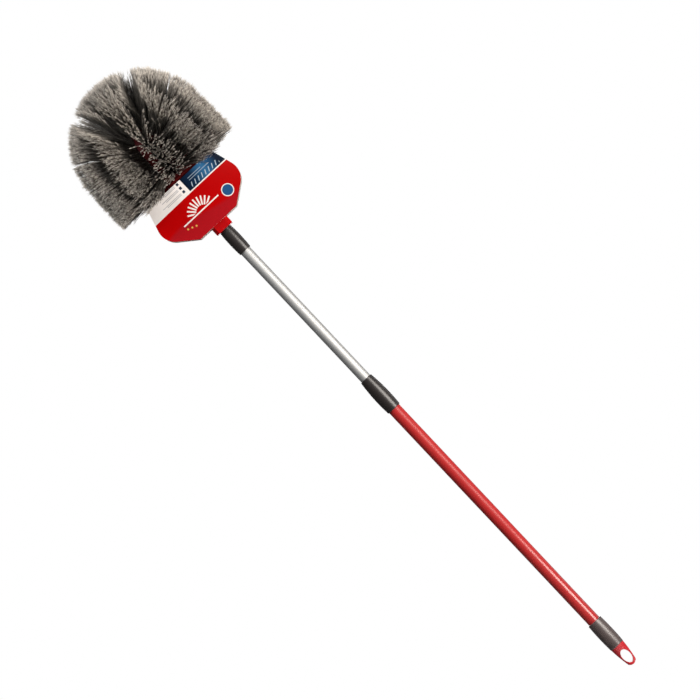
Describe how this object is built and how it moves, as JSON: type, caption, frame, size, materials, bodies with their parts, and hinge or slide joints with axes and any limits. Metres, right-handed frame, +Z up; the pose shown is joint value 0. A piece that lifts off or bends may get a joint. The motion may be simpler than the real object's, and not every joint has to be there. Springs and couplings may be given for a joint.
{
  "type": "telescopic cobweb brush",
  "caption": "Ceiling and corner dusting brush: a ball of radiating bristles on a screw-on hub, with a folded card round its neck, on a telescopic pole with a hanging loop.",
  "frame": {"origin": "centre of the hanging hole, on the pole's axis", "axes": "+Z runs up the pole to the bristle head, as the brush is used; +Y runs through the hanging hole, and the front of the card faces -Y; +X is to the right seen from the front"},
  "size_m": [0.2453, 0.2453, 1.2921],
  "materials": {
    "red_paint": "gloss red enamel on a steel tube",
    "bright_tube": "drawn and satin polished",
    "barrel_plastic": "satin moulded, very dark warm grey",
    "grip_plastic": "satin moulded, dark grey",
    "loop_plastic": "moulded, semi gloss red",
    "hub_plastic": "moulded, glossy red",
    "lock_plastic": "moulded, natural white",
    "stud_steel": "plated",
    "printed_card": "printed and varnished card",
    "bristle": "drawn polymer filament, flagged tips, warm grey"
  },
  "bodies": {
    "outer_pole": {"outer_tube": "red_paint", "end_grip": "grip_plastic", "hang_loop": "loop_plastic", "joint_collar": "barrel_plastic"},
    "expander": {"expander": "lock_plastic"},
    "inner_pole": {"inner_tube": "bright_tube", "lock_screw": "lock_plastic", "stud_cap": "stud_steel", "pole_tip": "barrel_plastic"},
    "card": {"card_sleeve": "printed_card"},
    "head": {"hub_base": "hub_plastic", "hub_dome": "hub_plastic", "bristle_row_1": "bristle", "bristle_row_2": "bristle", "bristle_row_3": "bristle", "bristle_row_4": "bristle", "bristle_row_5": "bristle", "bristle_row_6": "bristle", "bristle_row_7": "bristle", "bristle_row_8": "bristle", "bristle_row_9": "bristle"}
  },
  "joints": [
    {"name": "pole_extend", "type": "slide", "parent": "outer_pole", "child": "expander", "axis": [0, 0, 1], "range_m": [-0.2868, 0.2]},
    {"name": "lock_twist", "type": "hinge", "parent": "expander", "child": "inner_pole", "pos_m": [0, 0, 0.36], "axis": [0, 0, 1], "range_deg": [0, 360]},
    {"name": "head_rise", "type": "slide", "parent": "inner_pole", "child": "card", "axis": [0, 0, 1], "range_m": [0, 0.021]},
    {"name": "head_turn", "type": "hinge", "parent": "card", "child": "head", "pos_m": [0, 0, 0.97], "axis": [0, 0, 1], "range_deg": [0, 1260]}
  ],
  "couplings": [
    {"joint": "head_rise", "follows": "head_turn", "m_per_rad": 0.0009549}
  ]
}
